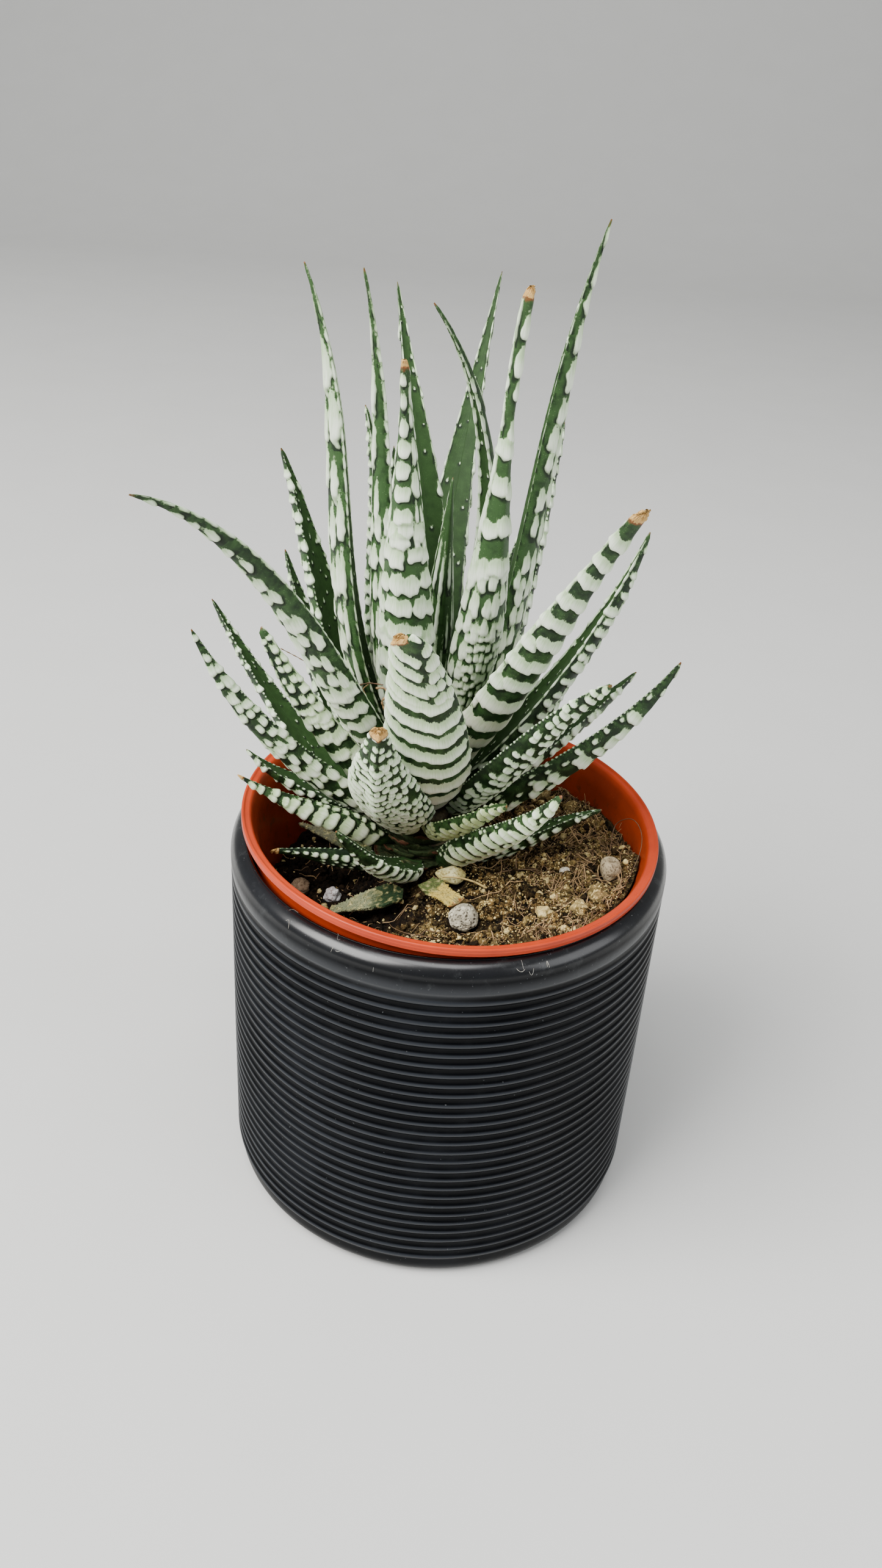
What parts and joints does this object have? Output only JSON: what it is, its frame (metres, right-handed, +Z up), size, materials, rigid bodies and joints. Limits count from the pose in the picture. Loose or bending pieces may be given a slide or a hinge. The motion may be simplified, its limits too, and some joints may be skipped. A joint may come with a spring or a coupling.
{
  "type": "potted haworthia",
  "caption": "Striped haworthia rosette with raised white bands on its pointed leaves, in soil in a terracotta plastic pot inside a ribbed dark glazed cover pot.",
  "frame": {"origin": "centre of the cover pot's flat underside", "axes": "+Z up along the cover pot's axis, +X to the picture's right, -Y towards the picture's viewer"},
  "size_m": [0.0828, 0.0882, 0.1672],
  "materials": {
    "cover_glaze": "satin anthracite glaze",
    "nursery_plastic": "terracotta-coloured plastic, slightly glossy",
    "soil_mix": "loose brown peat and coir with granules",
    "stem_tissue": "dull fibrous green-brown",
    "banded_leaf": "waxy dark green skin with raised white bands",
    "dry_leaf": "dry mottled yellow-green",
    "stone_oval": "matt",
    "stone_speckled": "matt, speckled",
    "stone_white": "matt",
    "stone_tan": "matt",
    "stone_beige": "matt",
    "stone_small_white": "matt"
  },
  "bodies": {
    "root": {"cover_pot": "cover_glaze", "dead_leaf_back": "dry_leaf", "dead_leaf_left": "dry_leaf", "dead_leaf_right": "dry_leaf", "leaf_back_left": "banded_leaf", "leaf_back_small": "banded_leaf", "leaf_back_wide": "banded_leaf", "leaf_centre": "banded_leaf", "leaf_curved": "banded_leaf", "leaf_front_broad": "banded_leaf", "leaf_front_keeled": "banded_leaf", "leaf_front_low_left": "banded_leaf", "leaf_front_low_right": "banded_leaf", "leaf_front_upright": "banded_leaf", "leaf_left_1": "banded_leaf", "leaf_left_2": "banded_leaf", "leaf_left_3": "banded_leaf", "leaf_left_4": "banded_leaf", "leaf_left_5": "banded_leaf", "leaf_left_6": "banded_leaf", "leaf_left_arched": "banded_leaf", "leaf_left_green": "banded_leaf", "leaf_left_slim": "banded_leaf", "leaf_left_small": "banded_leaf", "leaf_rear_1": "banded_leaf", "leaf_rear_2": "banded_leaf", "leaf_rear_3": "banded_leaf", "leaf_rear_4": "banded_leaf", "leaf_rear_5": "banded_leaf", "leaf_rear_6": "banded_leaf", "leaf_right_1": "banded_leaf", "leaf_right_2": "banded_leaf", "leaf_right_3": "banded_leaf", "leaf_right_4": "banded_leaf", "leaf_right_5": "banded_leaf", "leaf_right_broad": "banded_leaf", "leaf_right_under": "banded_leaf", "leaf_right_upright": "banded_leaf", "leaf_tall_left": "banded_leaf", "leaf_tall_right": "banded_leaf", "nursery_pot": "nursery_plastic", "pebble_beige": "stone_beige", "pebble_oval": "stone_oval", "pebble_small_white": "stone_small_white", "pebble_tan": "stone_tan", "perlite_white": "stone_white", "pumice_speckled": "stone_speckled", "soil": "soil_mix", "stem": "stem_tissue"}
  },
  "joints": []
}
